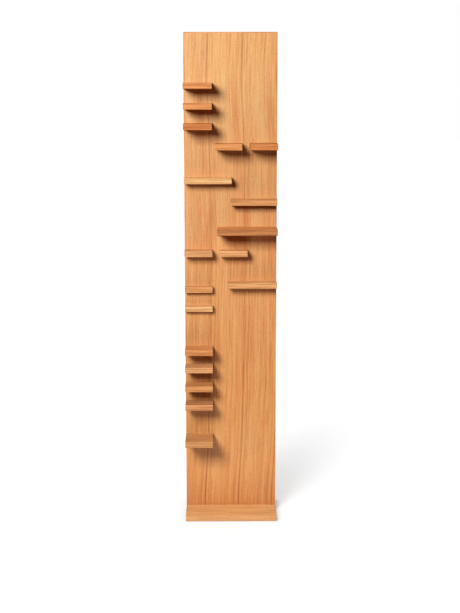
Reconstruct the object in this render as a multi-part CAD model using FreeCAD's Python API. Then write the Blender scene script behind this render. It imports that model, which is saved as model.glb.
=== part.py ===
import FreeCAD, Part
import os

# Spine bookshelf: a tall narrow oak board that stands free on a flat foot, with short tabs on
# its front that carry books in flat piles. Sizes are in millimetres. X runs across the board,
# the front faces -Y and Z runs up from the floor. The origin is on the floor, under the middle
# of the foot.

os.makedirs("parts", exist_ok=True)

Vector = FreeCAD.Vector

# board: a core between two veneers, with solid lippings round three edges
boardWidth = 340.0
boardHeight = 1777.0       # above the foot
boardThickness = 22.0
veneerThickness = 0.6
lippingWidth = 3.0
easedRadius = 0.8          # every edge that a hand can reach is rounded this much

# foot: a solid plate with a shallow housing across it, which the board stands in
footReach = 120.0          # in front of the board
footBackReach = 100.0      # behind the board
footThickness = 22.0
housingDepth = 4.0

# felt pads under the foot
padRadius = 11.0
padThickness = 1.0
padInset = 3.0             # from the edge of the foot to the rim of a pad

# tabs: solid oak blocks, glued and screwed to the board
tabThickness = 22.0
shortTabWidth = 103.0
upperRightTabWidth = 100.0
leftWideTabWidth = 174.0
rightWideTabWidth = 170.0
lowerWideTabWidth = 181.0
longTabWidth = 220.0
lowestTabReach = 120.0
deepTabReach = 100.0
mediumTabReach = 80.0
slimTabReach = 50.0
thinTabReach = 25.0

# steps down from the top of the board, from one tab to the next, each to the underside of a tab
topRungDrop = 201.5        # from the top of the board to the highest tab
rungPitch = 72.0           # between tabs that follow each other like rungs
leftWideDrop = 124.0
rightWideDrop = 79.0
longDrop = 104.0
pairDrop = 84.0            # to two tabs side by side
lowerWideDrop = 118.0
thinRungDrop = 19.0
mediumRungDrop = 155.5
secondMediumDrop = 65.5
lowestDrop = 131.0

# gaps between the short tabs on the left and the tabs to the right of them
upperMiddleGap = 10.5
upperRightGap = 28.5       # between the two tabs at the top right
lowerMiddleGap = 26.0
upperMiddleTabWidth = boardWidth - shortTabWidth - upperMiddleGap - upperRightGap - upperRightTabWidth

# dowels between a tab and the board
dowelRadius = 4.0
dowelLength = 30.0
dowelInBoard = 12.0
dowelChamfer = 1.0
dowelEndInset = 22.0       # from the end of a tab to the axis of its dowel
glueGap = 0.5              # room for glue at each end of a dowel

# screws from the back of the board into the tabs, each under an oak plug
plugRadius = 5.0
plugLength = 5.0
screwRadius = 2.0
screwHeadRadius = 4.0
screwHeadHeight = 2.2
screwTipLength = 5.0
screwLength = 45.0
thinTabScrewLength = 35.0
screwClearance = 0.25      # round the shank, where it passes through the board
secondScrewWidth = 150.0   # a tab at least this wide has two screws
screwEndShare = 0.3        # place of each of two screws, as a share of the width of the tab

# cross recess in the head of a screw
recessWidth = 1.1
recessSpan = 4.4
recessDepth = 1.8

# screws and dowels between the foot and the board
footScrewRadius = 2.5
footScrewHeadRadius = 5.0
footScrewHeadHeight = 2.8
footScrewLength = 60.0
footScrewRecess = 0.5      # from the underside of the foot up to a head
footScrewSpacing = 110.0
footScrewCount = 3         # with a dowel midway between each two
footDowelLength = 35.0
footDowelInFoot = 14.0

# places that follow from the sizes above
footDepth = footReach + boardThickness + footBackReach
footFrontY = -footDepth / 2
footBackY = footDepth / 2
frontY = footFrontY + footReach
backY = frontY + boardThickness
coreFrontY = frontY + veneerThickness
coreBackY = backY - veneerThickness
boardMiddleY = (frontY + backY) / 2
footBottomZ = padThickness
footTopZ = footBottomZ + footThickness
boardBottomZ = footTopZ - housingDepth
boardTopZ = footTopZ + boardHeight
coreTopZ = boardTopZ - lippingWidth
leftX = -boardWidth / 2
rightX = boardWidth / 2
coreLeftX = leftX + lippingWidth
coreRightX = rightX - lippingWidth
screwFaceY = backY - plugLength
footScrewFaceZ = footBottomZ + footScrewRecess

up = Vector(0, 0, 1)
intoBoard = Vector(0, -1, 0)     # from the back towards the front


def box(x0, x1, y0, y1, z0, z1):
    """Box between two corners."""
    return Part.makeBox(x1 - x0, y1 - y0, z1 - z0, Vector(x0, y0, z0))


def easedEdges(shape, wanted):
    """Round the straight edges of a shape whose middle passes the test."""
    edges = [edge for edge in shape.Edges if wanted(edge.BoundBox.Center)]
    return shape.makeFillet(easedRadius, edges)


def near(a, b):
    return abs(a - b) < 1e-6


def dowel(start, direction, length):
    """Round wooden pin with a chamfer at each end."""
    end = start + direction * length
    inner = Part.makeCylinder(dowelRadius, length - 2 * dowelChamfer,
                              start + direction * dowelChamfer, direction)
    tip = dowelRadius - dowelChamfer
    first = Part.makeCone(tip, dowelRadius, dowelChamfer, start, direction)
    last = Part.makeCone(dowelRadius, tip, dowelChamfer, end - direction * dowelChamfer, direction)
    return inner.fuse([first, last]).removeSplitter()


def dowelHole(start, direction, length):
    return Part.makeCylinder(dowelRadius, length + 2 * glueGap, start - direction * glueGap, direction)


def screwBlank(face, direction, radius, headRadius, headHeight, length):
    """Countersunk screw without its recess: head, shank and pointed tip."""
    head = Part.makeCone(headRadius, radius, headHeight, face, direction)
    shankStart = face + direction * headHeight
    shankLength = length - headHeight - screwTipLength
    shank = Part.makeCylinder(radius, shankLength, shankStart, direction)
    tip = Part.makeCone(radius, 0, screwTipLength, shankStart + direction * shankLength, direction)
    return head.fuse([shank, tip]).removeSplitter()


def screw(face, direction, radius, headRadius, headHeight, length):
    """Countersunk screw with a cross recess in its head."""
    blank = screwBlank(face, direction, radius, headRadius, headHeight, length)
    scale = headRadius / screwHeadRadius
    across = Vector(1, 0, 0)
    other = direction.cross(across)
    depth = recessDepth * headHeight / screwHeadHeight
    for along, side in ((across, other), (other, across)):
        corner = face - along * recessSpan * scale / 2 - side * recessWidth * scale / 2
        points = [corner, corner + along * recessSpan * scale,
                  corner + along * recessSpan * scale + side * recessWidth * scale,
                  corner + side * recessWidth * scale, corner]
        arm = Part.Face(Part.makePolygon(points)).extrude(direction * depth)
        blank = blank.cut(arm)
    return blank


def sunkHead(face, direction, radius, headRadius, headHeight, depth, mouthRadius):
    """Seat for a countersunk head, with a round mouth from it out to the surface."""
    seat = Part.makeCone(headRadius, radius, headHeight, face, direction)
    mouth = Part.makeCylinder(mouthRadius, depth, face - direction * depth, direction)
    return seat.fuse(mouth)


class Tab:
    """One tab: its name, the span along X, how far it stands out and its underside."""

    def __init__(self, name, x0, width, reach, bottom):
        self.name = name
        self.x0 = x0
        self.x1 = x0 + width
        self.width = width
        self.reach = reach
        self.bottom = bottom
        self.middleZ = bottom + tabThickness / 2

    def dowelPlaces(self):
        return [self.x0 + dowelEndInset, self.x1 - dowelEndInset]

    def screwPlaces(self):
        if self.width < secondScrewWidth:
            return [(self.x0 + self.x1) / 2]
        return [self.x0 + self.width * screwEndShare, self.x1 - self.width * screwEndShare]

    def screwLength(self):
        return thinTabScrewLength if self.reach <= thinTabReach else screwLength


def leftTab(name, width, reach, bottom):
    return Tab(name, leftX, width, reach, bottom)


def rightTab(name, width, reach, bottom):
    return Tab(name, rightX - width, width, reach, bottom)


def middleTab(name, gap, width, reach, bottom):
    return Tab(name, leftX + shortTabWidth + gap, width, reach, bottom)


def stepsDown(start, *drops):
    """Heights reached by going down from a start, drop by drop."""
    heights = []
    for drop in drops:
        start -= drop
        heights.append(start)
    return heights


def allTabs():
    """The tabs from the top down."""
    rung = stepsDown(boardTopZ, topRungDrop, rungPitch, rungPitch, rungPitch)
    leftWide, rightWide, long = stepsDown(rung[3], leftWideDrop, rightWideDrop, longDrop)
    pair, lowerWide = stepsDown(long, pairDrop, lowerWideDrop)
    thin = stepsDown(lowerWide, thinRungDrop, rungPitch)
    medium = stepsDown(thin[1], mediumRungDrop, secondMediumDrop, rungPitch, rungPitch)
    lowest = medium[3] - lowestDrop
    return [
        leftTab("tab_01_left", shortTabWidth, deepTabReach, rung[0]),
        leftTab("tab_02_left", shortTabWidth, deepTabReach, rung[1]),
        leftTab("tab_03_left", shortTabWidth, deepTabReach, rung[2]),
        middleTab("tab_04_middle", upperMiddleGap, upperMiddleTabWidth, deepTabReach, rung[3]),
        rightTab("tab_05_right", upperRightTabWidth, deepTabReach, rung[3]),
        leftTab("tab_06_left_wide", leftWideTabWidth, slimTabReach, leftWide),
        rightTab("tab_07_right_wide", rightWideTabWidth, slimTabReach, rightWide),
        rightTab("tab_08_right_long", longTabWidth, deepTabReach, long),
        leftTab("tab_09_left", shortTabWidth, slimTabReach, pair),
        middleTab("tab_10_middle", lowerMiddleGap, shortTabWidth, slimTabReach, pair),
        rightTab("tab_11_right_wide", lowerWideTabWidth, slimTabReach, lowerWide),
        leftTab("tab_12_left_thin", shortTabWidth, thinTabReach, thin[0]),
        leftTab("tab_13_left_thin", shortTabWidth, thinTabReach, thin[1]),
        leftTab("tab_14_left", shortTabWidth, mediumTabReach, medium[0]),
        leftTab("tab_15_left", shortTabWidth, mediumTabReach, medium[1]),
        leftTab("tab_16_left", shortTabWidth, mediumTabReach, medium[2]),
        leftTab("tab_17_left", shortTabWidth, mediumTabReach, medium[3]),
        leftTab("tab_18_left", shortTabWidth, lowestTabReach, lowest),
    ]


tabs = allTabs()
footScrewSpan = footScrewSpacing * (footScrewCount - 1)
footScrewPlaces = [index * footScrewSpacing - footScrewSpan / 2 for index in range(footScrewCount)]
footDowelPlaces = [x + footScrewSpacing / 2 for x in footScrewPlaces[:-1]]


def tabDowelPlaces(tab):
    """Start of each dowel of a tab, inside the board; the dowels point to the front."""
    return [Vector(x, frontY + dowelInBoard, tab.middleZ) for x in tab.dowelPlaces()]


def tabScrewPlaces(tab):
    """Middle of the head of each screw of a tab, at the bottom of its plug hole."""
    return [Vector(x, screwFaceY, tab.middleZ) for x in tab.screwPlaces()]


def boardCuts():
    """Every hole in the board: for dowels, screws and plugs, and for the joint with the foot."""
    cuts = []
    for tab in tabs:
        for start in tabDowelPlaces(tab):
            cuts.append(dowelHole(start, intoBoard, dowelLength))
        for face in tabScrewPlaces(tab):
            cuts.append(sunkHead(face, intoBoard, screwRadius, screwHeadRadius,
                                 screwHeadHeight, plugLength, plugRadius))
            cuts.append(Part.makeCylinder(screwRadius + screwClearance, boardThickness, face, intoBoard))
    for x in footScrewPlaces:
        cuts.append(footScrewBlank(x))
    for x in footDowelPlaces:
        cuts.append(dowelHole(footDowelStart(x), up, footDowelLength))
    return cuts


def sheet(y0, y1, cuts):
    """One layer of the board between the lippings: the core or a veneer."""
    return box(coreLeftX, coreRightX, y0, y1, boardBottomZ, coreTopZ).cut(cuts)


def sideLipping(outerX, innerX):
    """Solid strip along one side of the board, rounded on its outer edges."""
    low = min(outerX, innerX)
    strip = box(low, low + lippingWidth, frontY, backY, boardBottomZ, boardTopZ)
    return easedEdges(strip, lambda c: near(c.x, outerX) and not near(c.z, boardBottomZ))


def topLipping():
    """Solid strip along the top, between the two side strips."""
    strip = box(coreLeftX, coreRightX, frontY, backY, coreTopZ, boardTopZ)
    return easedEdges(strip, lambda c: near(c.z, boardTopZ) and near(c.x, 0))


def tabSolid(tab):
    """Oak block with eased front and ends, and holes in its back for its dowels and screws."""
    block = box(tab.x0, tab.x1, frontY - tab.reach, frontY, tab.bottom, tab.bottom + tabThickness)
    block = easedEdges(block, lambda c: not near(c.y, frontY))
    cuts = [dowelHole(start, intoBoard, dowelLength) for start in tabDowelPlaces(tab)]
    for face in tabScrewPlaces(tab):
        cuts.append(tabScrewBlank(tab, face))
    return block.cut(cuts)


def tabScrewBlank(tab, face):
    return screwBlank(face, intoBoard, screwRadius, screwHeadRadius, screwHeadHeight, tab.screwLength())


def tabScrew(tab, face):
    return screw(face, intoBoard, screwRadius, screwHeadRadius, screwHeadHeight, tab.screwLength())


def footDowelStart(x):
    return Vector(x, boardMiddleY, footTopZ - footDowelInFoot)


def footScrewBlank(x):
    return screwBlank(Vector(x, boardMiddleY, footScrewFaceZ), up, footScrewRadius,
                      footScrewHeadRadius, footScrewHeadHeight, footScrewLength)


def footScrew(x):
    return screw(Vector(x, boardMiddleY, footScrewFaceZ), up, footScrewRadius,
                 footScrewHeadRadius, footScrewHeadHeight, footScrewLength)


def footPlate():
    """Oak plate with eased edges and a housing from end to end for the foot of the board."""
    plate = box(leftX, rightX, footFrontY, footBackY, footBottomZ, footTopZ)
    plate = easedEdges(plate, lambda c: True)
    cuts = [box(leftX, rightX, frontY, backY, boardBottomZ, footTopZ)]
    for x in footDowelPlaces:
        cuts.append(dowelHole(footDowelStart(x), up, footDowelLength))
    for x in footScrewPlaces:
        face = Vector(x, boardMiddleY, footScrewFaceZ)
        cuts.append(footScrewBlank(x))
        cuts.append(sunkHead(face, up, footScrewRadius, footScrewHeadRadius,
                             footScrewHeadHeight, footScrewRecess, footScrewHeadRadius))
    return plate.cut(cuts)


def feltPads():
    """One round pad near each corner of the foot."""
    inset = padInset + padRadius
    return [Part.makeCylinder(padRadius, padThickness, Vector(x, y, 0), up)
            for x in (leftX + inset, rightX - inset)
            for y in (footFrontY + inset, footBackY - inset)]


def screwPlug(face):
    """Oak plug that hides a screw, flush with the back of the board."""
    return Part.makeCylinder(plugRadius, plugLength, face, intoBoard * -1)


def save(name, solids):
    """Write one node: a solid, or a group of separate solids."""
    shape = solids[0] if len(solids) == 1 else Part.makeCompound(solids)
    assert shape.isValid(), name
    shape.exportStep("parts/" + name + ".step")
    print(name, len(shape.Solids), round(shape.Volume))


cuts = boardCuts()
save("board_core", [sheet(coreFrontY, coreBackY, cuts)])
save("front_veneer", [sheet(frontY, coreFrontY, cuts)])
save("back_veneer", [sheet(coreBackY, backY, cuts)])
save("left_lipping", [sideLipping(leftX, coreLeftX)])
save("right_lipping", [sideLipping(rightX, coreRightX)])
save("top_lipping", [topLipping()])
save("foot_plate", [footPlate()])
save("foot_screws", [footScrew(x) for x in footScrewPlaces])
save("foot_dowels", [dowel(footDowelStart(x), up, footDowelLength) for x in footDowelPlaces])
save("felt_pads", feltPads())
save("tab_dowels", [dowel(start, intoBoard, dowelLength) for tab in tabs for start in tabDowelPlaces(tab)])
for name, thin in (("tab_screws", False), ("thin_tab_screws", True)):
    save(name, [tabScrew(tab, face) for tab in tabs if (tab.reach <= thinTabReach) == thin
                for face in tabScrewPlaces(tab)])
save("screw_plugs", [screwPlug(face) for tab in tabs for face in tabScrewPlaces(tab)])
for tab in tabs:
    save(tab.name, [tabSolid(tab)])
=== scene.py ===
import math
import bpy
from mathutils import Matrix, Vector


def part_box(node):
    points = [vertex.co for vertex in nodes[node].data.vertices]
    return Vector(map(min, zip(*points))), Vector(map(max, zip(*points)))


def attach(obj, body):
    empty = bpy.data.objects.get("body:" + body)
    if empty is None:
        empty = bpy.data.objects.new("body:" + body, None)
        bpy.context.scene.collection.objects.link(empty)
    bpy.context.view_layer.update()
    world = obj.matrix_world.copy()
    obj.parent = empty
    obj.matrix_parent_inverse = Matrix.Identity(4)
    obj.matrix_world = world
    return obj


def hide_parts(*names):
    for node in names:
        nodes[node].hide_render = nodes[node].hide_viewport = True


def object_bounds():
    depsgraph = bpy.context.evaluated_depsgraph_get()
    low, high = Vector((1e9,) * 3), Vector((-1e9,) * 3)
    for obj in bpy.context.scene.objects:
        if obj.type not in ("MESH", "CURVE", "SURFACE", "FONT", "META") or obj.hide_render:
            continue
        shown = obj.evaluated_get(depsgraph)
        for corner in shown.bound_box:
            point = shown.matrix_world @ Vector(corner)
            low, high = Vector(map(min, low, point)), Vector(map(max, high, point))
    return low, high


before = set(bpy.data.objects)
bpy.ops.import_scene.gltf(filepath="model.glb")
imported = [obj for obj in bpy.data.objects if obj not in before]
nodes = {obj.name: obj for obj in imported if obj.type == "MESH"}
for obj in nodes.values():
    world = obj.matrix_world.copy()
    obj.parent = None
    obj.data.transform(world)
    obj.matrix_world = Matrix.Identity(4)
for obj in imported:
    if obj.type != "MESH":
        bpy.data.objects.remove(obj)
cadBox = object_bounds()
tabNames = sorted(name for name in nodes if name.startswith("tab_") and name[4:6].isdigit())
print("frame loaded:", len(nodes), "nodes,", len(tabNames), "tabs")


def linear(hexColour):
    # sRGB hex to the linear colour that a socket takes
    parts = [int(hexColour[i:i + 2], 16) / 255 for i in (1, 3, 5)]
    return [c / 12.92 if c <= 0.04045 else ((c + 0.055) / 1.055) ** 2.4 for c in parts] + [1.0]


def mm(value):
    return value / 1000


def addNode(tree, kind, inputs=None, **settings):
    # one node, its settings, and its sockets filled with values or links
    node = tree.nodes.new(kind)
    for key, value in settings.items():
        setattr(node, key, value)
    for key, value in (inputs or {}).items():
        if isinstance(value, bpy.types.NodeSocket):
            tree.links.new(value, node.inputs[key])
        else:
            node.inputs[key].default_value = value
    return node


def startMaterial(name):
    material = bpy.data.materials.new(name)
    material.use_nodes = True
    material.node_tree.nodes.clear()
    return material, material.node_tree


def closeMaterial(tree, shader):
    addNode(tree, "ShaderNodeOutputMaterial", {"Surface": shader.outputs[0]})


def grainNoise(tree, vector, sizes, detail=2.0, rough=0.5):
    # noise whose features have the given sizes along the three directions of the vector
    scaled = addNode(tree, "ShaderNodeMapping", {
        "Vector": vector, "Scale": [1 / size for size in sizes]})
    noise = addNode(tree, "ShaderNodeTexNoise", {
        "Vector": scaled.outputs[0], "Scale": 1.0, "Detail": detail, "Roughness": rough})
    return noise.outputs["Fac"]


def setRamp(node, stops):
    # colour stops as (place, hex)
    elements = node.color_ramp.elements
    while len(elements) < len(stops):
        elements.new(0.5)
    for element, (place, colour) in zip(elements, stops):
        element.position = place
        element.color = linear(colour)


def setCurve(node, points):
    # points of a float curve as (place, value)
    curve = node.mapping.curves[0]
    while len(curve.points) < len(points):
        curve.points.new(0.5, 0.5)
    for point, location in zip(curve.points, points):
        point.location = location
    node.mapping.update()


# Veneer: oak cut in leaves and laid side by side the same way up, so that the figure repeats from
# leaf to leaf. The oil deepens the grain and leaves a soft sheen.
veneer = {
    "leafWidth": mm(126.5), "leafJoint": mm(-69),        # width of a leaf, and where one joint lies
    "leafCut": mm(0.6),                                  # how much deeper in the log the next leaf is
    "faceCut": mm(7.0),                                  # and how much deeper one step of the seed is
    # the grain drifts sideways along the log: share of the height, mm
    "drift": ((0.0, -13), (0.07, -8.5), (0.15, -2.5), (0.25, 1.2), (0.35, 5), (0.45, 8),
              (0.6, 11), (0.7, 7), (0.8, 3), (0.89, -2.5), (1.0, 0)),
    "driftRange": 100,                                   # mm that the whole curve stands for
    "fan": 0.35,                                         # how much more the start of a leaf drifts
    "waver": mm(11), "waverSize": (mm(60), mm(40), mm(300)),
    # how pale a leaf is from side to side, and how strongly that shows
    "band": ((0.0, 0.55), (0.28, 0.72), (0.5, 0.55), (0.76, 0.34), (0.86, 0.28), (0.97, 0.36),
             (1.0, 0.42)),
    "bandShare": 0.10,
    # sizes of the figure across the grain, into the log and along it, and the share of each in the tone
    "streakSize": (mm(9), mm(6), mm(420)), "streakShare": 0.50,
    "fineSize": (mm(3.0), mm(5), mm(100)), "fineShare": 0.34,
    "hairSize": (mm(1.1), mm(4), mm(45)), "hairShare": 0.16,
    "lineSize": (mm(1.5), mm(3), mm(150)), "lineShare": 0.36,    # thin dark lines between the streaks
    "lineRange": (0.56, 0.72),
    # pores of oak are about 0.2 mm wide, too fine to show; these are drawn as coarse as they need to
    "poreSize": (mm(0.45), mm(2), mm(11)), "poreShare": 0.55, "poreRange": (0.60, 0.70),
    # ray flecks, strong only in the upper part; their sizes are in the plane of the board
    "fleckSize": (mm(6), mm(3), mm(2.6)), "fleckShare": 0.10,
    "fleckHeights": (0.45, 0.85), "fleckLow": 0.15,
    # near the foot the streaks are calmer and the veins stronger
    "calmLow": 0.70, "calmHeights": (0.1, 0.4),
    # dark veins that come back in every leaf
    "veinPlaces": (mm(112.5), mm(1.5)), "veinWidths": (mm(3.4), mm(3.0)),
    "veinStrengths": (0.62, 0.34), "veinCore": 0.3, "veinPatches": (0.62, 0.35), "veinFaint": 0.45,
    "tones": ((0.36, "#A66F3C"), (0.45, "#B28048"), (0.53, "#B9915A"), (0.65, "#BF9E67")),
    "vein": "#79471E", "pore": "#906133",
    # tone along the height: partly the log's own change of tone, partly painted light and shade; the
    # foot end is painted darker and redder for the shade and warm bounce there
    "heightToneAndShade": ((0.0, "#E9C8CB"), (0.03, "#FAE8EC"), (0.07, "#FBEEF0"), (0.15, "#EDE3E1"),
                   (0.28, "#ECDFDD"), (0.45, "#F4EAF4"), (0.53, "#F4EBF4"), (0.57, "#FCF0F7"),
                   (0.61, "#F4ECF5"), (0.72, "#F4EEF6"), (1.0, "#FFFFFF")),
    "roughness": (0.53, 0.41), "grainRange": (0.3, 0.7), # roughness of the dark and of the pale grain
    "ior": 1.5, "shine": 0.4, "bump": mm(0.12), "bumpStrength": 0.5,
}


def oiledOakVeneer(name, look, seed):
    material, tree = startMaterial(name)
    place = addNode(tree, "ShaderNodeTexCoord").outputs["Object"]
    axes = addNode(tree, "ShaderNodeSeparateXYZ", {0: place}).outputs
    shifted = addNode(tree, "ShaderNodeMath", {0: axes["X"], 1: look["leafJoint"]},
                      operation="SUBTRACT").outputs[0]
    inLeaf = addNode(tree, "ShaderNodeMath", {0: shifted, 1: look["leafWidth"]},
                     operation="FLOORED_MODULO").outputs[0]
    leafCount = addNode(tree, "ShaderNodeMath", {0: shifted, 1: look["leafWidth"]},
                        operation="DIVIDE").outputs[0]
    leaf = addNode(tree, "ShaderNodeMath", {0: leafCount}, operation="FLOOR").outputs[0]
    depth = addNode(tree, "ShaderNodeMath", {
        0: leaf, 1: look["leafCut"], 2: look["faceCut"] * seed}, operation="MULTIPLY_ADD").outputs[0]

    # the drift, with a little waver on top
    heightShare = addNode(tree, "ShaderNodeMath", {0: axes["Z"], 1: cadBox[1][2]},
                          operation="DIVIDE").outputs[0]
    drift = addNode(tree, "ShaderNodeFloatCurve", {"Value": heightShare})
    setCurve(drift, [(share, 0.5 + offset / look["driftRange"]) for share, offset in look["drift"]])
    sideways = addNode(tree, "ShaderNodeMath", {0: drift.outputs[0], 1: 0.5},
                       operation="SUBTRACT").outputs[0]
    fan = addNode(tree, "ShaderNodeMath", {
        0: inLeaf, 1: -look["fan"] / look["leafWidth"], 2: 1 + look["fan"]},
        operation="MULTIPLY_ADD").outputs[0]
    fanned = addNode(tree, "ShaderNodeMath", {0: sideways, 1: fan}, operation="MULTIPLY").outputs[0]
    drifted = addNode(tree, "ShaderNodeMath", {0: fanned, 1: -mm(look["driftRange"]), 2: inLeaf},
                      operation="MULTIPLY_ADD").outputs[0]
    flat = addNode(tree, "ShaderNodeCombineXYZ", {0: inLeaf, 1: depth, 2: axes["Z"]}).outputs[0]
    wander = grainNoise(tree, flat, look["waverSize"], 1.0)
    wavering = addNode(tree, "ShaderNodeMath", {0: wander, 1: 0.5}, operation="SUBTRACT").outputs[0]
    grain = addNode(tree, "ShaderNodeMath", {0: wavering, 1: look["waver"], 2: drifted},
                    operation="MULTIPLY_ADD").outputs[0]
    vector = addNode(tree, "ShaderNodeCombineXYZ", {0: grain, 1: depth, 2: axes["Z"]}).outputs[0]

    # the tone: streaks, finer figure and hairlines, the band of the leaf, and flecks
    streak = grainNoise(tree, vector, look["streakSize"], 3.0, 0.55)
    fine = grainNoise(tree, vector, look["fineSize"], 3.0, 0.6)
    hair = grainNoise(tree, vector, look["hairSize"], 1.0)
    tone = 0.0
    for figure, share in ((streak, "streakShare"), (fine, "fineShare"), (hair, "hairShare")):
        tone = addNode(tree, "ShaderNodeMath", {0: figure, 1: look[share], 2: tone},
                       operation="MULTIPLY_ADD").outputs[0]
    across = addNode(tree, "ShaderNodeMath", {0: grain, 1: look["leafWidth"]},
                     operation="DIVIDE").outputs[0]
    band = addNode(tree, "ShaderNodeFloatCurve", {"Value": across})
    setCurve(band, look["band"])
    banded = addNode(tree, "ShaderNodeMath", {0: band.outputs[0], 1: 0.5},
                     operation="SUBTRACT").outputs[0]
    tone = addNode(tree, "ShaderNodeMath", {0: banded, 1: look["bandShare"], 2: tone},
                   operation="MULTIPLY_ADD").outputs[0]
    upper = addNode(tree, "ShaderNodeMapRange", {
        "Value": heightShare, "From Min": look["fleckHeights"][0], "From Max": look["fleckHeights"][1],
        "To Min": look["fleckLow"], "To Max": 1.0}).outputs[0]
    fleck = grainNoise(tree, place, look["fleckSize"], 1.0)
    flecked = addNode(tree, "ShaderNodeMath", {0: fleck, 1: 0.5}, operation="SUBTRACT").outputs[0]
    flecked = addNode(tree, "ShaderNodeMath", {0: flecked, 1: upper}, operation="MULTIPLY").outputs[0]
    tone = addNode(tree, "ShaderNodeMath", {0: flecked, 1: look["fleckShare"], 2: tone},
                   operation="MULTIPLY_ADD").outputs[0]
    calm = addNode(tree, "ShaderNodeMapRange", {
        "Value": heightShare, "From Min": look["calmHeights"][0], "From Max": look["calmHeights"][1],
        "To Min": look["calmLow"], "To Max": 1.0}).outputs[0]
    swing = addNode(tree, "ShaderNodeMath", {0: tone, 1: 0.5}, operation="SUBTRACT").outputs[0]
    tone = addNode(tree, "ShaderNodeMath", {0: swing, 1: calm, 2: 0.5},
                   operation="MULTIPLY_ADD").outputs[0]
    ramp = addNode(tree, "ShaderNodeValToRGB", {"Fac": tone})
    setRamp(ramp, look["tones"])

    line = grainNoise(tree, vector, look["lineSize"], 1.0)
    lineShare = addNode(tree, "ShaderNodeMapRange", {
        "Value": line, "From Min": look["lineRange"][0], "From Max": look["lineRange"][1],
        "To Min": 0.0, "To Max": look["lineShare"]}).outputs[0]
    colour = addNode(tree, "ShaderNodeMix", {
        "Factor": lineShare, "A": ramp.outputs["Color"], "B": linear(look["vein"])},
        data_type="RGBA").outputs["Result"]

    # the veins, broken up by the fine figure
    patchy = addNode(tree, "ShaderNodeMapRange", {
        "Value": fine, "From Min": look["veinPatches"][0], "From Max": look["veinPatches"][1],
        "To Min": look["veinFaint"], "To Max": 1.0}).outputs[0]
    for vein, width, strength in zip(look["veinPlaces"], look["veinWidths"], look["veinStrengths"]):
        away = addNode(tree, "ShaderNodeMath", {0: grain, 1: vein}, operation="SUBTRACT").outputs[0]
        away = addNode(tree, "ShaderNodeMath", {0: away}, operation="ABSOLUTE").outputs[0]
        near = addNode(tree, "ShaderNodeMapRange", {
            "Value": away, "From Min": width * look["veinCore"], "From Max": width,
            "To Min": strength, "To Max": 0.0}, interpolation_type="SMOOTHSTEP").outputs[0]
        share = addNode(tree, "ShaderNodeMath", {0: near, 1: patchy}, operation="MULTIPLY").outputs[0]
        share = addNode(tree, "ShaderNodeMath", {0: share, 1: calm}, operation="DIVIDE").outputs[0]
        colour = addNode(tree, "ShaderNodeMix", {
            "Factor": share, "A": colour, "B": linear(look["vein"])},
            data_type="RGBA").outputs["Result"]

    pore = grainNoise(tree, vector, look["poreSize"], 0.0)
    openPore = addNode(tree, "ShaderNodeMapRange", {
        "Value": pore, "From Min": look["poreRange"][0], "From Max": look["poreRange"][1],
        "To Min": 0.0, "To Max": look["poreShare"]}).outputs[0]
    colour = addNode(tree, "ShaderNodeMix", {
        "Factor": openPore, "A": colour, "B": linear(look["pore"])},
        data_type="RGBA").outputs["Result"]
    # painted light and shade along the height, with the log's own change of tone, multiplied onto the
    # veneer
    toneAndShade = addNode(tree, "ShaderNodeValToRGB", {"Fac": heightShare})
    setRamp(toneAndShade, look["heightToneAndShade"])
    colour = addNode(tree, "ShaderNodeMix", {
        "Factor": 1.0, "A": colour, "B": toneAndShade.outputs["Color"]},
        data_type="RGBA", blend_type="MULTIPLY").outputs["Result"]

    rough = addNode(tree, "ShaderNodeMapRange", {
        "Value": fine, "From Min": look["grainRange"][0], "From Max": look["grainRange"][1],
        "To Min": look["roughness"][0], "To Max": look["roughness"][1]}).outputs[0]
    relief = addNode(tree, "ShaderNodeMath", {0: hair, 1: openPore}, operation="SUBTRACT").outputs[0]
    bump = addNode(tree, "ShaderNodeBump", {
        "Height": relief, "Strength": look["bumpStrength"], "Distance": look["bump"]}).outputs[0]
    closeMaterial(tree, addNode(tree, "ShaderNodeBsdfPrincipled", {
        "Base Color": colour, "Roughness": rough, "Normal": bump,
        "IOR": look["ior"], "Specular IOR Level": look["shine"]}))
    return material


# Solid oak: blocks sawn from boards, with rings that run through the block, so that faces show
# long lines and ends show arcs. Each tab comes from its own board, so its tone differs.
solidOak = {
    "ringWidth": mm(4.6), "ringWarp": mm(7), "warpSize": (mm(420), mm(38), mm(38)),
    "pithAcross": mm(-70), "pithBelow": mm(-95),         # the middle of the log, off the block
    # how porous the wood is through one year, white where it is most porous
    "year": ((0.0, "#FFFFFF"), (0.22, "#C8C8C8"), (0.5, "#3C3C3C"), (0.9, "#000000"),
             (1.0, "#FFFFFF")),
    "ringShare": 0.85,
    # sizes along the grain, across it and downwards
    "streakSize": (mm(170), mm(5), mm(5)), "streakShare": 0.9, "streakRange": (0.38, 0.66),
    "streakPale": 0.3,                                   # how far a streak also goes paler
    # pores too are drawn as coarse as they need to show
    "poreSize": (mm(9), mm(0.5), mm(0.5)), "poreShare": 0.6, "poreRange": (0.58, 0.68),
    "pore": "#7E4E2A",
    "earlyShade": (0.54, 0.43, 0.29),                    # tone of the porous wood, dark with oil
    "endToneAndShade": (0.42, 0.3696, 0.3276),                   # end grain drinks more oil and turns darker; it is darkened further as painted shade on the tab ends
    "flatFaceLightAndShade": (1.16, 1.10, 1.09), "wideShare": 0.25,   # painted light and shade on the flat faces, which makes the tops paler, and the share of ring figure that the flat-sawn faces keep
    "faceRange": (0.7, 0.95),                            # how squarely a face has to look that way
    "logStep": (0.31, 0.006, 0.029),                     # how far apart in the log two seeds lie, in m
    "roughness": (0.48, 0.60), "ior": 1.5, "shine": 0.4, "bump": mm(0.12), "bumpStrength": 0.5,
}
# the foot's top is painted darker than its front, as painted shade
footOak = {**solidOak, "ringShare": 0.55, "streakShare": 0.4, "ringWarp": mm(16),
           "wideShare": 0.3, "flatFaceLightAndShade": (0.86, 0.84, 0.78), "shine": 0.18}


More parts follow.
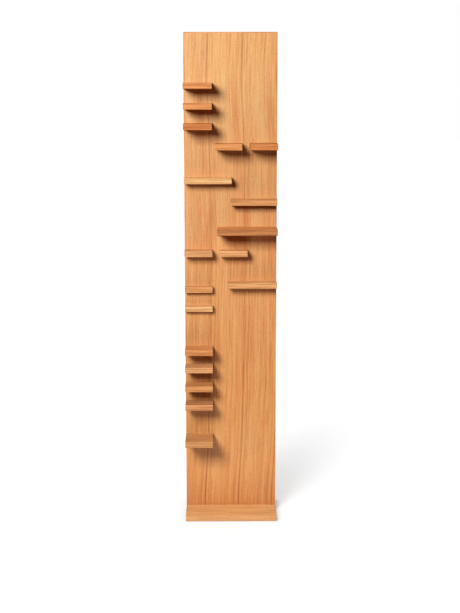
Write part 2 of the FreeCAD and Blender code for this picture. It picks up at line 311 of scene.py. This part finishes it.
def oiledSolidOak(name, face, look, grain="x", seed=0.0):
    material, tree = startMaterial(name)
    coordinates = addNode(tree, "ShaderNodeTexCoord")
    moved = addNode(tree, "ShaderNodeMapping", {
        "Vector": coordinates.outputs["Object"], "Location": [step * seed for step in look["logStep"]]})
    axes = addNode(tree, "ShaderNodeSeparateXYZ", {0: moved.outputs[0]}).outputs
    along, across, below = {"x": ("X", "Y", "Z"), "z": ("Z", "X", "Y")}[grain]
    vector = addNode(tree, "ShaderNodeCombineXYZ", {
        0: axes[along], 1: axes[across], 2: axes[below]}).outputs[0]
    paleColour = linear(face)
    darkColour = [c * share for c, share in zip(paleColour, look["earlyShade"])] + [1.0]

    # rings round the pith, bent a little along the log
    warp = grainNoise(tree, vector, look["warpSize"], 2.0)
    aside = addNode(tree, "ShaderNodeMath", {0: axes[across], 1: look["pithAcross"]},
                    operation="SUBTRACT").outputs[0]
    beneath = addNode(tree, "ShaderNodeMath", {0: axes[below], 1: look["pithBelow"]},
                      operation="SUBTRACT").outputs[0]
    fromPith = addNode(tree, "ShaderNodeCombineXYZ", {0: aside, 1: beneath}).outputs[0]
    radius = addNode(tree, "ShaderNodeVectorMath", {0: fromPith}, operation="LENGTH").outputs["Value"]
    radius = addNode(tree, "ShaderNodeMath", {0: warp, 1: look["ringWarp"], 2: radius},
                     operation="MULTIPLY_ADD").outputs[0]
    year = addNode(tree, "ShaderNodeMath", {0: radius, 1: look["ringWidth"]},
                   operation="DIVIDE").outputs[0]
    season = addNode(tree, "ShaderNodeMath", {0: year}, operation="FRACT").outputs[0]
    early = addNode(tree, "ShaderNodeValToRGB", {"Fac": season})
    setRamp(early, look["year"])
    ringShare = addNode(tree, "ShaderNodeMath", {0: early.outputs["Color"], 1: look["ringShare"]},
                        operation="MULTIPLY").outputs[0]
    streak = grainNoise(tree, vector, look["streakSize"], 3.0, 0.6)
    streakShare = addNode(tree, "ShaderNodeMapRange", {
        "Value": streak, "From Min": look["streakRange"][0], "From Max": look["streakRange"][1],
        "To Min": -look["streakPale"] * look["streakShare"], "To Max": look["streakShare"]}).outputs[0]

    # the wide faces are flat sawn, so the rings spread out there and mostly the streaks are left
    normal = addNode(tree, "ShaderNodeSeparateXYZ", {0: coordinates.outputs["Normal"]}).outputs
    facing = []
    for direction in (below, along):
        square = addNode(tree, "ShaderNodeMath", {0: normal[direction]},
                         operation="ABSOLUTE").outputs[0]
        facing.append(addNode(tree, "ShaderNodeMapRange", {
            "Value": square, "From Min": look["faceRange"][0], "From Max": look["faceRange"][1],
            "To Min": 0.0, "To Max": 1.0}).outputs[0])
    wide, end = facing
    keep = addNode(tree, "ShaderNodeMath", {0: wide, 1: look["wideShare"] - 1.0, 2: 1.0},
                   operation="MULTIPLY_ADD").outputs[0]
    share = addNode(tree, "ShaderNodeMath", {0: ringShare, 1: keep, 2: streakShare},
                    operation="MULTIPLY_ADD", use_clamp=True).outputs[0]
    colour = addNode(tree, "ShaderNodeMix", {
        "Factor": share, "A": paleColour, "B": darkColour}, data_type="RGBA").outputs["Result"]

    pore = grainNoise(tree, vector, look["poreSize"], 0.0)
    poreShare = addNode(tree, "ShaderNodeMapRange", {
        "Value": pore, "From Min": look["poreRange"][0], "From Max": look["poreRange"][1],
        "To Min": 0.0, "To Max": look["poreShare"]}).outputs[0]
    openPore = addNode(tree, "ShaderNodeMath", {0: poreShare, 1: early.outputs["Color"]},
                       operation="MULTIPLY").outputs[0]
    colour = addNode(tree, "ShaderNodeMix", {
        "Factor": openPore, "A": colour, "B": linear(look["pore"])},
        data_type="RGBA").outputs["Result"]

    # end faces get the darker end grain, partly painted shade; flat faces get painted light or shade
    shade = (1.0, 1.0, 1.0, 1.0)
    for factor, tone in ((end, look["endToneAndShade"]), (wide, look["flatFaceLightAndShade"])):
        shade = addNode(tree, "ShaderNodeMix", {
            "Factor": factor, "A": shade, "B": (*tone, 1.0)}, data_type="RGBA").outputs["Result"]
    colour = addNode(tree, "ShaderNodeMix", {"Factor": 1.0, "A": colour, "B": shade},
                     data_type="RGBA", blend_type="MULTIPLY").outputs["Result"]

    rough = addNode(tree, "ShaderNodeMapRange", {
        "Value": share, "To Min": look["roughness"][0], "To Max": look["roughness"][1]}).outputs[0]
    relief = addNode(tree, "ShaderNodeMath", {0: streak, 1: openPore}, operation="SUBTRACT").outputs[0]
    bump = addNode(tree, "ShaderNodeBump", {
        "Height": relief, "Strength": look["bumpStrength"], "Distance": look["bump"]}).outputs[0]
    closeMaterial(tree, addNode(tree, "ShaderNodeBsdfPrincipled", {
        "Base Color": colour, "Roughness": rough, "Normal": bump,
        "IOR": look["ior"], "Specular IOR Level": look["shine"]}))
    return material


# Fibreboard: pressed wood fibre, matt and even, seen only where something is taken off
rawFibreboard = {
    "size": (mm(2.0), mm(0.8), mm(2.0)), "detail": 4.0, "rough": 0.7,
    "tones": ((0.35, "#9C7B58"), (0.65, "#BC9C76")),
    "finish": {"Roughness": 0.85, "IOR": 1.45, "Specular IOR Level": 0.25},
}
# Beech: turned dowels, pale and close, with short dark flecks along the grain
rawBeech = {
    "size": (mm(0.5), mm(3.0), mm(0.5)), "detail": 1.0, "rough": 0.5,
    "tones": ((0.40, "#E2BE94"), (0.62, "#CDA076"), (0.70, "#A8774F")),
    "finish": {"Roughness": 0.7, "IOR": 1.5, "Specular IOR Level": 0.3},
}
# Zinc-plated steel: bright blue-white plating over rolled thread, slightly cloudy
zincPlatedSteel = {
    "size": (mm(1.5), mm(1.5), mm(1.5)), "detail": 3.0, "rough": 0.6,
    "tones": ((0.3, "#AEB4BA"), (0.7, "#D3D5D2")),
    "cloudRange": (0.3, 0.7), "cloudRoughness": (0.42, 0.28),
    "finish": {"Metallic": 1.0},
}
# Wool felt: matted brown fibre, quite matt, with a soft fuzz that catches grazing light
woolFelt = {
    "size": (mm(0.7), mm(0.7), mm(0.4)), "detail": 5.0, "rough": 0.75,
    "tones": ((0.3, "#4A3B2E"), (0.7, "#7D6A57")),
    "bump": mm(0.3), "bumpStrength": 0.8,
    "finish": {"Roughness": 0.95, "Sheen Weight": 0.5, "Sheen Roughness": 0.5,
               "Specular IOR Level": 0.2},
}


def mottledMaterial(name, look):
    # one noise that mottles the colour, and where the look says so the gloss or the relief too
    material, tree = startMaterial(name)
    place = addNode(tree, "ShaderNodeTexCoord").outputs["Object"]
    mottle = grainNoise(tree, place, look["size"], look["detail"], look["rough"])
    ramp = addNode(tree, "ShaderNodeValToRGB", {"Fac": mottle})
    setRamp(ramp, look["tones"])
    finish = {"Base Color": ramp.outputs["Color"], **look["finish"]}
    if "cloudRoughness" in look:
        finish["Roughness"] = addNode(tree, "ShaderNodeMapRange", {
            "Value": mottle, "From Min": look["cloudRange"][0], "From Max": look["cloudRange"][1],
            "To Min": look["cloudRoughness"][0], "To Max": look["cloudRoughness"][1]}).outputs[0]
    if "bump" in look:
        finish["Normal"] = addNode(tree, "ShaderNodeBump", {
            "Height": mottle, "Strength": look["bumpStrength"], "Distance": look["bump"]}).outputs[0]
    closeMaterial(tree, addNode(tree, "ShaderNodeBsdfPrincipled", finish))
    return material


def dress(nodeName, material):
    data = nodes[nodeName].data
    data.materials.clear()
    data.materials.append(material)


woodColour = {
    "foot_plate": "#DDAC79", "lipping": "#B98250", "plugs": "#B98250",
    "tab_01_left": "#BB7C40", "tab_02_left": "#C08247", "tab_03_left": "#B66F28",
    "tab_04_middle": "#C38B52", "tab_05_right": "#B8763B", "tab_06_left_wide": "#CDAA79",
    "tab_07_right_wide": "#BB8A57", "tab_08_right_long": "#A16D3D", "tab_09_left": "#BA8E62",
    "tab_10_middle": "#C29666", "tab_11_right_wide": "#BE9363", "tab_12_left_thin": "#BA8958",
    "tab_13_left_thin": "#C7A073", "tab_14_left": "#BC8755", "tab_15_left": "#BD9369",
    "tab_16_left": "#B28253", "tab_17_left": "#B3855B", "tab_18_left": "#A67C51",
}
# tabs whose flat faces get stronger or weaker painted light than the others, to stand in for how the
# light falls on their tops
flatFaceLightShare = {"tab_08_right_long": 1.50, "tab_17_left": 0.82, "tab_18_left": 1.16}

dress("front_veneer", oiledOakVeneer("oiled oak veneer, front", veneer, 0))
dress("back_veneer", oiledOakVeneer("oiled oak veneer, back", veneer, 5))
dress("board_core", mottledMaterial("raw fibreboard", rawFibreboard))
for seed, side in ((3, "left_lipping"), (4, "right_lipping")):
    dress(side, oiledSolidOak("oiled oak lipping, " + side, woodColour["lipping"], solidOak, "z", seed))
dress("top_lipping", oiledSolidOak("oiled oak lipping, top", woodColour["lipping"], solidOak, "x", 5))
dress("foot_plate", oiledSolidOak("oiled solid oak, foot", woodColour["foot_plate"], footOak, "x", 4.3))
dress("screw_plugs", oiledSolidOak("oiled oak plugs", woodColour["plugs"], solidOak, "z", 13))
for index, name in enumerate(tabNames):
    # painted light on each tab's flat faces, scaled tab by tab
    tone = [c * flatFaceLightShare.get(name, 1.0) for c in solidOak["flatFaceLightAndShade"]]
    look = {**solidOak, "flatFaceLightAndShade": tone}
    dress(name, oiledSolidOak("oiled solid oak, " + name, woodColour[name], look, "x", 9 + index * 1.3))
beech = mottledMaterial("raw beech", rawBeech)
zinc = mottledMaterial("zinc-plated steel", zincPlatedSteel)
felt = mottledMaterial("wool felt", woolFelt)
print("materials made:", len(bpy.data.materials))


def startTree(name, sizes):
    # an empty geometry tree with a named input for each size, and for the turn and the material
    tree = bpy.data.node_groups.new(name, "GeometryNodeTree")
    inputs = [("Geometry", "NodeSocketGeometry"), *((size, "NodeSocketFloat") for size in sizes),
              ("Turn", "NodeSocketVector"), ("Material", "NodeSocketMaterial")]
    for label, kind in inputs:
        tree.interface.new_socket(label, in_out="INPUT", socket_type=kind)
    tree.interface.new_socket("Geometry", in_out="OUTPUT", socket_type="NodeSocketGeometry")
    return tree, addNode(tree, "NodeGroupInput").outputs


def closeTree(tree, group, shape):
    # a copy of the shape at each point, made real and given its material
    copies = addNode(tree, "GeometryNodeInstanceOnPoints", {
        "Points": group["Geometry"], "Instance": shape, "Rotation": group["Turn"]})
    real = addNode(tree, "GeometryNodeRealizeInstances", {"Geometry": copies.outputs[0]})
    done = addNode(tree, "GeometryNodeSetMaterial", {
        "Geometry": real.outputs[0], "Material": group["Material"]})
    addNode(tree, "NodeGroupOutput", {0: done.outputs[0]})
    return tree


def repeatOnPoints(name, tree, places, values, replaced):
    # runs the tree on a cloud of points and keeps the result as a plain mesh that rides on the shelf
    cloud = bpy.data.meshes.new(name)
    cloud.from_pydata([tuple(p) for p in places], [], [])
    piece = bpy.data.objects.new(name, cloud)
    bpy.context.scene.collection.objects.link(piece)
    modifier = piece.modifiers.new("repeat", "NODES")
    modifier.node_group = tree
    for socket in tree.interface.items_tree:
        if socket.in_out == "INPUT" and socket.name in values:
            modifier[socket.identifier] = values[socket.name]
    evaluated = piece.evaluated_get(bpy.context.evaluated_depsgraph_get())
    made = bpy.data.meshes.new_from_object(evaluated)
    piece.modifiers.clear()
    piece.data = made
    bpy.data.meshes.remove(cloud)
    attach(piece, "root")
    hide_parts(replaced)
    print(name + ":", len(places), "copies,", len(made.polygons), "faces")


towardsFront = (math.pi / 2, 0.0, 0.0)   # turns +Z to -Y
upright = (0.0, 0.0, 0.0)

screwShape = {
    "headSides": 32, "shankSides": 20, "turnSteps": 20,  # steps round the head, the shank and a turn
    "ridgeSides": 4,                                     # the thread has sharp edges
    # the cross recess: its span and width as shares of the head's radius, its depth of its height
    "recessSpan": 1.1, "recessWidth": 0.26, "recessDepth": 1.3,
    "tip": mm(5), "threadShare": 0.6,                    # length of the point, and share with thread
}
tabScrew = {
    "core": mm(1.45), "thread": mm(1.95), "pitch": mm(1.8), "headRadius": mm(4), "headHeight": mm(2.2),
    "secondWidth": mm(150), "endShare": 0.3,             # tabs this wide have two, so far from an end
    "levelSlack": mm(5),                                 # how far a tab may lie past its node's box
}
footScrew = {
    "core": mm(1.9), "thread": mm(2.45), "pitch": mm(2.4), "headRadius": mm(5), "headHeight": mm(2.8),
    "spacing": mm(110),
}


def woodScrewTree(look):
    # countersunk screw along +Z from the middle of its head: cross recess, shank, thread, point
    tree, group = startTree("woodScrew", (
        "Length", "Core Radius", "Thread Radius", "Head Radius", "Head Height", "Tip Length",
        "Thread Turns", "Thread Length"))
    head = addNode(tree, "GeometryNodeMeshCone", {
        "Vertices": look["headSides"], "Radius Bottom": group["Head Radius"],
        "Radius Top": group["Core Radius"], "Depth": group["Head Height"]})
    recess = [addNode(tree, "ShaderNodeMath", {0: group[size], 1: look[share]},
                      operation="MULTIPLY").outputs[0]
              for size, share in (("Head Radius", "recessSpan"), ("Head Radius", "recessWidth"),
                                  ("Head Height", "recessDepth"))]
    span, width, depth = recess
    recessed = addNode(tree, "GeometryNodeMeshBoolean", {"Mesh 1": head.outputs["Mesh"]},
                       operation="DIFFERENCE")
    arms = []
    for x, y in ((span, width), (width, span)):
        corners = addNode(tree, "ShaderNodeCombineXYZ", {0: x, 1: y, 2: depth}).outputs[0]
        arms.append(addNode(tree, "GeometryNodeMeshCube", {"Size": corners}).outputs["Mesh"])
    for arm in arms:
        tree.links.new(arm, recessed.inputs["Mesh 2"])

    tipStart = addNode(tree, "ShaderNodeMath", {0: group["Length"], 1: group["Tip Length"]},
                       operation="SUBTRACT").outputs[0]
    shankLength = addNode(tree, "ShaderNodeMath", {0: tipStart, 1: group["Head Height"]},
                          operation="SUBTRACT").outputs[0]
    threadStart = addNode(tree, "ShaderNodeMath", {0: tipStart, 1: group["Thread Length"]},
                          operation="SUBTRACT").outputs[0]
    threadRise = addNode(tree, "ShaderNodeMath", {0: group["Thread Radius"], 1: group["Core Radius"]},
                         operation="SUBTRACT").outputs[0]
    shank = addNode(tree, "GeometryNodeMeshCone", {
        "Vertices": look["shankSides"], "Radius Bottom": group["Core Radius"],
        "Radius Top": group["Core Radius"], "Depth": shankLength})
    tip = addNode(tree, "GeometryNodeMeshCone", {
        "Vertices": look["shankSides"], "Radius Bottom": group["Core Radius"], "Radius Top": 0.0,
        "Depth": group["Tip Length"]})
    helix = addNode(tree, "GeometryNodeCurveSpiral", {
        "Resolution": look["turnSteps"], "Rotations": group["Thread Turns"],
        "Start Radius": group["Core Radius"], "End Radius": group["Core Radius"],
        "Height": group["Thread Length"]})
    ridge = addNode(tree, "GeometryNodeCurvePrimitiveCircle", {
        "Resolution": look["ridgeSides"], "Radius": threadRise})
    thread = addNode(tree, "GeometryNodeCurveToMesh", {
        "Curve": helix.outputs[0], "Profile Curve": ridge.outputs["Curve"], "Fill Caps": True})
    parts = [recessed.outputs[0]]
    for part, start in ((shank, group["Head Height"]), (tip, tipStart), (thread, threadStart)):
        lift = addNode(tree, "ShaderNodeCombineXYZ", {2: start}).outputs[0]
        parts.append(addNode(tree, "GeometryNodeTransform", {
            "Geometry": part.outputs[0], "Translation": lift}).outputs[0])
    whole = addNode(tree, "GeometryNodeJoinGeometry")
    for part in parts:
        tree.links.new(part, whole.inputs[0])
    return closeTree(tree, group, whole.outputs[0])


def screwValues(length, screw, turn):
    threadLength = length * screwShape["threadShare"]
    return {"Length": length, "Core Radius": screw["core"], "Thread Radius": screw["thread"],
            "Head Radius": screw["headRadius"], "Head Height": screw["headHeight"],
            "Tip Length": screwShape["tip"], "Thread Turns": threadLength / screw["pitch"],
            "Thread Length": threadLength, "Turn": turn, "Material": zinc}


def tabSpan(name):
    # left and right end of a tab, and the height of its middle
    low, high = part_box(name)
    return low[0], high[0], (low[2] + high[2]) / 2


def screwXs(low, high):
    width = high - low
    if width < tabScrew["secondWidth"]:
        return [(low + high) / 2]
    return [low + width * tabScrew["endShare"], high - width * tabScrew["endShare"]]


screwTree = woodScrewTree(screwShape)
for nodeName, pieceName in (("tab_screws", "tabScrews"), ("thin_tab_screws", "thinTabScrews")):
    low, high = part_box(nodeName)
    bottom, top = low[2] - tabScrew["levelSlack"], high[2] + tabScrew["levelSlack"]
    places = []
    for name in tabNames:
        left, right, middle = tabSpan(name)
        if bottom <= middle <= top and ("thin" in name) == ("thin" in nodeName):
            places += [(x, high[1], middle) for x in screwXs(left, right)]
    values = screwValues(high[1] - low[1], tabScrew, towardsFront)
    repeatOnPoints(pieceName, screwTree, places, values, nodeName)

low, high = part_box("foot_screws")
places = [(step * footScrew["spacing"], (low[1] + high[1]) / 2, low[2]) for step in (-1, 0, 1)]
values = screwValues(high[2] - low[2], footScrew, upright)
repeatOnPoints("footScrews", screwTree, places, values, "foot_screws")

dowel = {
    "radius": mm(4), "fluteDepth": mm(0.35), "taper": mm(1.5), "endShare": 0.75,
    "flutes": 24, "sections": 24,
    "inset": mm(22),                                     # from the end of a tab
}


def flutedDowelTree(look):
    # grooved pin along +Z, with a taper at each end
    tree, group = startTree("flutedDowel", ("Length", "Radius", "Flute Depth", "Taper"))
    ring = addNode(tree, "GeometryNodeCurvePrimitiveCircle", {
        "Resolution": 2 * look["flutes"], "Radius": group["Radius"]})
    index = addNode(tree, "GeometryNodeInputIndex").outputs[0]
    odd = addNode(tree, "ShaderNodeMath", {0: index, 1: 2.0}, operation="MODULO").outputs[0]
    inward = addNode(tree, "ShaderNodeMath", {0: group["Flute Depth"], 1: group["Radius"]},
                     operation="DIVIDE").outputs[0]
    cut = addNode(tree, "ShaderNodeMath", {0: odd, 1: inward}, operation="MULTIPLY").outputs[0]
    keep = addNode(tree, "ShaderNodeMath", {0: 1.0, 1: cut}, operation="SUBTRACT").outputs[0]
    position = addNode(tree, "GeometryNodeInputPosition").outputs[0]
    pulled = addNode(tree, "ShaderNodeVectorMath", {0: position, "Scale": keep},
                     operation="SCALE").outputs[0]
    profile = addNode(tree, "GeometryNodeSetPosition", {
        "Geometry": ring.outputs["Curve"], "Position": pulled})
    start, end = (addNode(tree, "ShaderNodeCombineXYZ", {2: value}).outputs[0]
                  for value in (0.0, group["Length"]))
    line = addNode(tree, "GeometryNodeCurvePrimitiveLine", {"Start": start, "End": end})
    cuts = addNode(tree, "GeometryNodeResampleCurve", {
        "Curve": line.outputs[0], "Count": look["sections"]})
    factor = addNode(tree, "GeometryNodeSplineParameter").outputs["Length"]
    toEnd = addNode(tree, "ShaderNodeMath", {0: group["Length"], 1: factor},
                    operation="SUBTRACT").outputs[0]
    nearest = addNode(tree, "ShaderNodeMath", {0: factor, 1: toEnd}, operation="MINIMUM").outputs[0]
    full = addNode(tree, "ShaderNodeMapRange", {
        "Value": nearest, "From Min": 0.0, "From Max": group["Taper"],
        "To Min": look["endShare"], "To Max": 1.0}).outputs[0]
    swept = addNode(tree, "GeometryNodeCurveToMesh", {
        "Curve": cuts.outputs[0], "Profile Curve": profile.outputs[0], "Scale": full,
        "Fill Caps": True})
    return closeTree(tree, group, swept.outputs[0])


dowelTree = flutedDowelTree(dowel)
dowelValues = {"Radius": dowel["radius"], "Flute Depth": dowel["fluteDepth"],
               "Taper": dowel["taper"], "Material": beech}
low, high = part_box("tab_dowels")
places = []
for name in tabNames:
    left, right, middle = tabSpan(name)
    places += [(x, high[1], middle) for x in (left + dowel["inset"], right - dowel["inset"])]
values = {**dowelValues, "Length": high[1] - low[1], "Turn": towardsFront}
repeatOnPoints("tabDowels", dowelTree, places, values, "tab_dowels")

low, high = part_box("foot_dowels")
between = footScrew["spacing"] / 2                       # each stands between two screws
places = [(side * between, (low[1] + high[1]) / 2, low[2]) for side in (-1, 1)]
values = {**dowelValues, "Length": high[2] - low[2], "Turn": upright}
repeatOnPoints("footDowels", dowelTree, places, values, "foot_dowels")

pad = {
    "radius": mm(11), "fray": 0.03, "tufts": 900.0,      # share of the radius, tufts per metre
    "rimSteps": 96, "sideSteps": 4, "fillSteps": 6,
}


def feltPadTree(look):
    # thin disc whose rim is soft and a little ragged
    tree, group = startTree("feltPad", ("Radius", "Thickness", "Fray"))
    disc = addNode(tree, "GeometryNodeMeshCylinder", {
        "Vertices": look["rimSteps"], "Side Segments": look["sideSteps"],
        "Fill Segments": look["fillSteps"], "Radius": group["Radius"], "Depth": group["Thickness"]})
    half = addNode(tree, "ShaderNodeMath", {0: group["Thickness"], 1: 0.5},
                   operation="MULTIPLY").outputs[0]
    lift = addNode(tree, "ShaderNodeCombineXYZ", {2: half}).outputs[0]
    placed = addNode(tree, "GeometryNodeTransform", {
        "Geometry": disc.outputs["Mesh"], "Translation": lift})
    position = addNode(tree, "GeometryNodeInputPosition").outputs[0]
    ragged = addNode(tree, "ShaderNodeTexNoise", {
        "Vector": position, "Scale": look["tufts"], "Detail": 3.0}).outputs["Fac"]
    share = addNode(tree, "ShaderNodeMath", {0: ragged, 1: group["Fray"]},
                    operation="MULTIPLY").outputs[0]
    keep = addNode(tree, "ShaderNodeMath", {0: 1.0, 1: share}, operation="SUBTRACT").outputs[0]
    factors = addNode(tree, "ShaderNodeCombineXYZ", {0: keep, 1: keep, 2: 1.0}).outputs[0]
    pulled = addNode(tree, "ShaderNodeVectorMath", {0: position, 1: factors},
                     operation="MULTIPLY").outputs[0]
    frayed = addNode(tree, "GeometryNodeSetPosition", {
        "Geometry": placed.outputs[0], "Position": pulled})
    return closeTree(tree, group, frayed.outputs[0])


low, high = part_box("felt_pads")
places = [(x, y, low[2]) for x in (low[0] + pad["radius"], high[0] - pad["radius"])
          for y in (low[1] + pad["radius"], high[1] - pad["radius"])]
values = {"Radius": pad["radius"], "Thickness": high[2] - low[2], "Fray": pad["fray"],
          "Turn": upright, "Material": felt}
repeatOnPoints("feltPads", feltPadTree(pad), places, values, "felt_pads")


# Studio: a white floor, one soft light in front to the left and a little above the top, dim fill
studio = {
    "eye": (-0.0339, -4.4912, 1.6105), "yaw": 0.399, "pitch": 10.254, "roll": 0.074,
    "lens": 71.74, "sensor": 36.0, "farthest": 200.0,
    "keyPlace": (-1.40, -3.22, 2.70), "keySize": 1.3, "keyPower": 73.0, "keyColour": "#FFF6EA",
    "aim": (0.0, 0.0, 0.9),
    # weaker lights behind, one straight and one low on the right, placed where the board hides them
    # from the front of the board and the tabs
    "backPlace": (0.0, 3.6, 2.0), "backSize": 0.3, "backPower": 85.0,
    "sidePlace": (3.0, 1.6, 0.35), "sideSize": 0.5, "sidePower": 34.0,
    # light that comes back up from the floor in front
    "bouncePlace": (0.0, -0.72, 0.03), "bounceSize": 0.9, "bouncePower": 7.8,
    "bounceColour": "#FFE6CE",
    "fill": 0.094, "fillColour": "#FF795F",
    # the floor, and how it looks to other rays, so that little light comes back up from it
    "floorSize": 60.0, "paper": "#F4F4F4", "dull": "#623F3A",
    # the cool glow takes the warmth of the fill out of the shadows; it is dimmed where the foot is
    # near, looking from the left and the front, which paints a contact shadow along the right end of
    # the foot
    "floorGlow": 0.371, "glowColour": "#E6FCFF", "glowFrom": (-0.85, -0.3, 0.43), "contact": mm(20),
    # lights of the floor alone: the white room, and a tall strip of lamps as (tilt, strength)
    "floorSky": 1.40, "stripAngle": 13.0, "stripTurn": -21.5,
    "strip": ((14, 0.18), (21, 0.26), (29, 0.28), (37, 0.175), (47, 0.256)),
}


def placeCamera(look):
    yaw, pitch, roll = (math.radians(look[key]) for key in ("yaw", "pitch", "roll"))
    ahead = Vector((math.sin(yaw) * math.cos(pitch), math.cos(yaw) * math.cos(pitch), -math.sin(pitch)))
    level = Vector((math.cos(yaw), -math.sin(yaw), 0.0))
    down = ahead.cross(level)
    right = level * math.cos(roll) + down * math.sin(roll)
    up = -(down * math.cos(roll) - level * math.sin(roll))
    camera = bpy.data.objects.new("camera", bpy.data.cameras.new("camera"))
    camera.matrix_world = Matrix((right, up, -ahead)).transposed().to_4x4()
    camera.location = look["eye"]
    camera.data.sensor_fit = "VERTICAL"
    camera.data.sensor_height = look["sensor"]
    camera.data.lens = look["lens"]
    camera.data.clip_end = look["farthest"]
    bpy.context.scene.collection.objects.link(camera)
    bpy.context.scene.camera = camera


def layFloor(look):
    half = look["floorSize"] / 2
    corners = [(-half, -half, 0), (half, -half, 0), (half, half, 0), (-half, half, 0)]
    mesh = bpy.data.meshes.new("floor")
    mesh.from_pydata(corners, [], [(0, 1, 2, 3)])
    floor = bpy.data.objects.new("floor", mesh)
    bpy.context.scene.collection.objects.link(floor)
    material, tree = startMaterial("white studio paper")
    seen = addNode(tree, "ShaderNodeLightPath").outputs["Is Camera Ray"]
    paper = addNode(tree, "ShaderNodeBsdfDiffuse", {"Color": linear(look["paper"])})
    glowFrom = addNode(tree, "ShaderNodeCombineXYZ", dict(enumerate(look["glowFrom"]))).outputs[0]
    # painted contact shadow: the glow is dimmed by ambient occlusion near the foot
    paintedContactShadow = addNode(tree, "ShaderNodeAmbientOcclusion", {
        "Color": linear(look["glowColour"]), "Distance": look["contact"], "Normal": glowFrom},
        samples=8)
    glow = addNode(tree, "ShaderNodeEmission", {
        "Color": paintedContactShadow.outputs["Color"], "Strength": look["floorGlow"]})
    lit = addNode(tree, "ShaderNodeAddShader", {0: paper.outputs[0], 1: glow.outputs[0]})
    dull = addNode(tree, "ShaderNodeBsdfDiffuse", {"Color": linear(look["dull"])})
    closeMaterial(tree, addNode(tree, "ShaderNodeMixShader", {
        0: seen, 1: dull.outputs[0], 2: lit.outputs[0]}))
    mesh.materials.append(material)
    return floor


def addLight(name, kind, power, **settings):
    data = bpy.data.lights.new(name, kind)
    data.energy = power
    for key, value in settings.items():
        setattr(data, key, value)
    light = bpy.data.objects.new(name, data)
    bpy.context.scene.collection.objects.link(light)
    return light


def lightStudio(look, floor):
    shelfLights = {}
    for name in ("key", "back", "side", "bounce"):
        light = addLight(name, "AREA", look[name + "Power"], shape="SQUARE", size=look[name + "Size"])
        light.location = look[name + "Place"]
        towards = Vector(look["aim"]) - light.location
        light.rotation_euler = towards.to_track_quat("-Z", "Y").to_euler()
        light.visible_camera = name == "key"
        shelfLights[name] = light
    # a tall stack of lamps lights the whole height evenly, so the key doesn't weaken with distance
    key = shelfLights["key"].data
    key.use_nodes = True
    key.node_tree.nodes.clear()
    even = addNode(key.node_tree, "ShaderNodeLightFalloff", {"Strength": 1.0})
    beam = addNode(key.node_tree, "ShaderNodeEmission", {
        "Color": linear(look["keyColour"]), "Strength": even.outputs["Linear"]})
    addNode(key.node_tree, "ShaderNodeOutputLight", {0: beam.outputs[0]})
    # the bounce looks straight up
    shelfLights["bounce"].data.color = linear(look["bounceColour"])[:3]
    shelfLights["bounce"].rotation_euler = (math.pi, 0.0, 0.0)
    floorLights = [addLight("room", "SUN", look["floorSky"], angle=math.pi)]
    for tilt, strength in look["strip"]:
        angle = math.radians(look["stripAngle"])
        lamp = addLight("strip " + str(tilt), "SUN", strength, angle=angle)
        lamp.rotation_euler = (math.radians(tilt), 0.0, math.radians(look["stripTurn"]))
        floorLights.append(lamp)
    for light in (*floorLights, *shelfLights.values()):
        group = bpy.data.collections.new("lit by " + light.name)
        group.objects.link(floor)
        light.light_linking.receiver_collection = group
        state = "INCLUDE" if light in floorLights else "EXCLUDE"
        group.collection_objects[0].light_linking.link_state = state

    world = bpy.data.worlds.new("studio")
    world.use_nodes = True
    tree = world.node_tree
    tree.nodes.clear()
    seen = addNode(tree, "ShaderNodeLightPath").outputs["Is Camera Ray"]
    white = addNode(tree, "ShaderNodeBackground", {"Color": (1, 1, 1, 1), "Strength": 1.0})
    soft = addNode(tree, "ShaderNodeBackground", {
        "Color": linear(look["fillColour"]), "Strength": look["fill"]})
    either = addNode(tree, "ShaderNodeMixShader", {0: seen, 1: soft.outputs[0], 2: white.outputs[0]})
    addNode(tree, "ShaderNodeOutputWorld", {"Surface": either.outputs[0]})
    bpy.context.scene.world = world


placeCamera(studio)
lightStudio(studio, layFloor(studio))
bpy.context.scene.view_settings.view_transform = "Standard"
bpy.context.scene.view_settings.look = "None"
print("studio ready")
